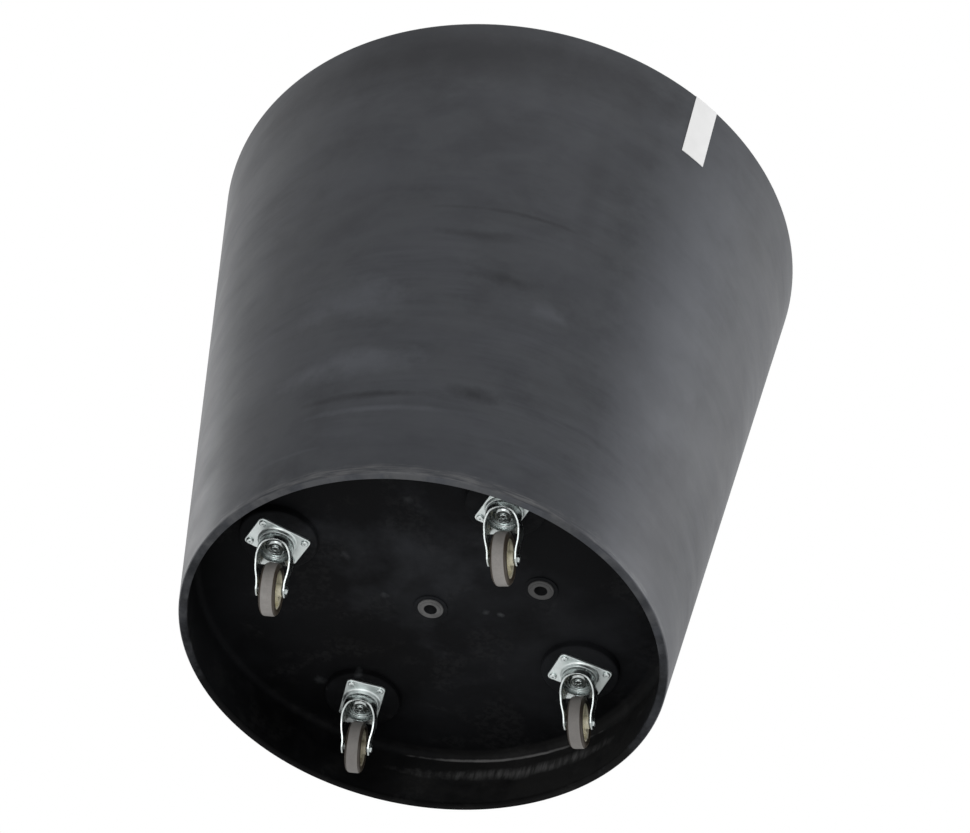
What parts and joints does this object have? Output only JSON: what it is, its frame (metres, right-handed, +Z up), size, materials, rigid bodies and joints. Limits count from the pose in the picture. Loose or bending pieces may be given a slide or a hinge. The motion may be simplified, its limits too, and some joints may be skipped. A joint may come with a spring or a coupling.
{
  "type": "rolling planter",
  "caption": "Tapered round floor planter whose raised floor carries swivel casters hidden inside the bottom rim, with drain grommets and a card strip over the top rim.",
  "frame": {"origin": "on the ground, on the pot's axis", "axes": "+Z up along the pot's axis; +X through the second drain hole, midway between two casters"},
  "size_m": [0.7989, 0.799, 0.7577],
  "materials": {
    "shell_plastic": "satin charcoal, faintly mottled",
    "drain_rubber": "matte grey",
    "label_card": "coated white card",
    "zinc_plate": "bright zinc",
    "fork_steel": "bright zinc, pressed sheet",
    "screw_steel": "bright zinc",
    "ball_steel": "polished",
    "tread_rubber": "matte grey",
    "hub_plastic": "matte cream"
  },
  "bodies": {
    "pot": {"pot_shell": "shell_plastic", "drain_grommet_1": "drain_rubber", "drain_grommet_2": "drain_rubber", "rim_label": "label_card", "top_plate_1": "zinc_plate", "plate_screws_1": "screw_steel", "kingpin_1": "screw_steel", "race_cup_1": "zinc_plate", "swivel_balls_1": "ball_steel", "top_plate_2": "zinc_plate", "plate_screws_2": "screw_steel", "kingpin_2": "screw_steel", "race_cup_2": "zinc_plate", "swivel_balls_2": "ball_steel", "top_plate_3": "zinc_plate", "plate_screws_3": "screw_steel", "kingpin_3": "screw_steel", "race_cup_3": "zinc_plate", "swivel_balls_3": "ball_steel", "top_plate_4": "zinc_plate", "plate_screws_4": "screw_steel", "kingpin_4": "screw_steel", "race_cup_4": "zinc_plate", "swivel_balls_4": "ball_steel"},
    "swivel_1": {"fork_1": "fork_steel", "axle_bolt_1": "screw_steel", "axle_nut_1": "screw_steel", "axle_sleeve_1": "screw_steel"},
    "wheel_1": {"wheel_hub_1": "hub_plastic", "wheel_tread_1": "tread_rubber"},
    "swivel_2": {"fork_2": "fork_steel", "axle_bolt_2": "screw_steel", "axle_nut_2": "screw_steel", "axle_sleeve_2": "screw_steel"},
    "wheel_2": {"wheel_hub_2": "hub_plastic", "wheel_tread_2": "tread_rubber"},
    "swivel_3": {"fork_3": "fork_steel", "axle_bolt_3": "screw_steel", "axle_nut_3": "screw_steel", "axle_sleeve_3": "screw_steel"},
    "wheel_3": {"wheel_hub_3": "hub_plastic", "wheel_tread_3": "tread_rubber"},
    "swivel_4": {"fork_4": "fork_steel", "axle_bolt_4": "screw_steel", "axle_nut_4": "screw_steel", "axle_sleeve_4": "screw_steel"},
    "wheel_4": {"wheel_hub_4": "hub_plastic", "wheel_tread_4": "tread_rubber"}
  },
  "joints": [
    {"name": "swivel_1", "type": "hinge", "parent": "pot", "child": "swivel_1", "pos_m": [-0.14708, -0.14708, 0.0745], "axis": [0, 0, 1], "continuous": true},
    {"name": "swivel_2", "type": "hinge", "parent": "pot", "child": "swivel_2", "pos_m": [0.14708, -0.14708, 0.0745], "axis": [0, 0, 1], "continuous": true},
    {"name": "swivel_3", "type": "hinge", "parent": "pot", "child": "swivel_3", "pos_m": [0.14708, 0.14708, 0.0745], "axis": [0, 0, 1], "continuous": true},
    {"name": "swivel_4", "type": "hinge", "parent": "pot", "child": "swivel_4", "pos_m": [-0.14708, 0.14708, 0.0745], "axis": [0, 0, 1], "continuous": true},
    {"name": "wheel_spin_1", "type": "hinge", "parent": "swivel_1", "child": "wheel_1", "pos_m": [-0.15629, -0.11696, 0.0325], "axis": [0.9563, 0.2924, 0], "continuous": true},
    {"name": "wheel_spin_2", "type": "hinge", "parent": "swivel_2", "child": "wheel_2", "pos_m": [0.14188, -0.11601, 0.0325], "axis": [0.9863, 0.165, 0], "continuous": true},
    {"name": "wheel_spin_3", "type": "hinge", "parent": "swivel_3", "child": "wheel_3", "pos_m": [0.14242, 0.17823, 0.0325], "axis": [0.989, 0.1478, 0], "continuous": true},
    {"name": "wheel_spin_4", "type": "hinge", "parent": "swivel_4", "child": "wheel_4", "pos_m": [-0.15655, 0.17712, 0.0325], "axis": [0.9537, 0.3007, 0], "continuous": true}
  ]
}
